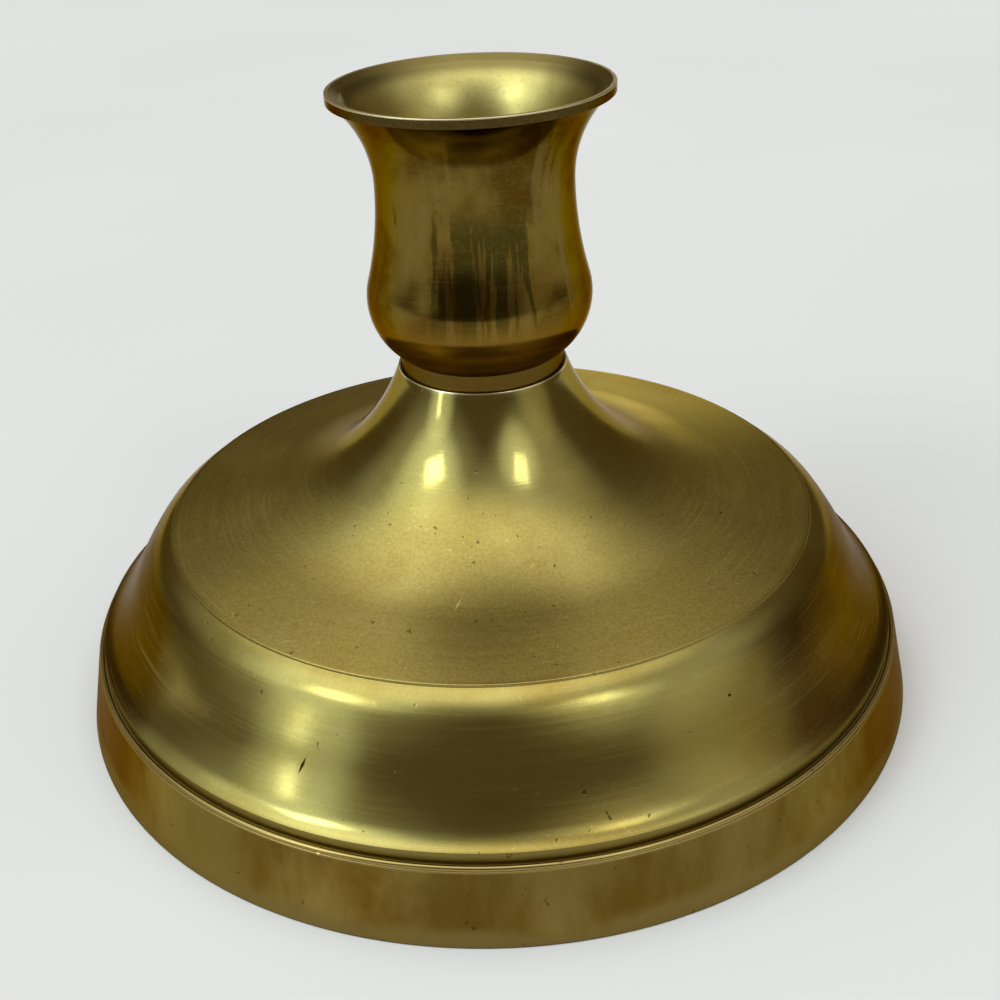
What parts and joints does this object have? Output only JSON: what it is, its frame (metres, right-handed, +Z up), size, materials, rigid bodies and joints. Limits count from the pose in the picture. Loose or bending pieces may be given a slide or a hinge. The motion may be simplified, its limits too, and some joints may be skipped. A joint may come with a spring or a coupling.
{
  "type": "candlestick",
  "caption": "Low turned brass candlestick: broad hollow stepped foot with a dished top and swept neck, and a short waisted nozzle with a flared lip that unscrews from it.",
  "frame": {"origin": "on the axis, in the plane of the foot's standing ring", "axes": "+Z up along the axis, out of the candle bore; the part is round, so +X and +Y are any two level directions"},
  "size_m": [0.1396, 0.1396, 0.0985],
  "materials": {
    "foot_brass": "aged satin, fine specks and light scratches",
    "nozzle_brass": "worn polish with brown tarnish and turning lines",
    "stud_steel": "dull grey, as turned"
  },
  "bodies": {
    "foot": {"base_casting": "foot_brass"},
    "stud": {"stud": "stud_steel"},
    "nozzle": {"nozzle": "nozzle_brass"}
  },
  "joints": [
    {"name": "stud_rise", "type": "slide", "parent": "foot", "child": "stud", "axis": [0, 0, 1], "range_m": [0, 0.01376]},
    {"name": "nozzle_turn", "type": "hinge", "parent": "stud", "child": "nozzle", "pos_m": [0, 0, 0.0544], "axis": [0, 0, 1], "range_deg": [0, 3960]}
  ],
  "couplings": [
    {"joint": "stud_rise", "follows": "nozzle_turn", "m_per_rad": 0.00019894}
  ]
}
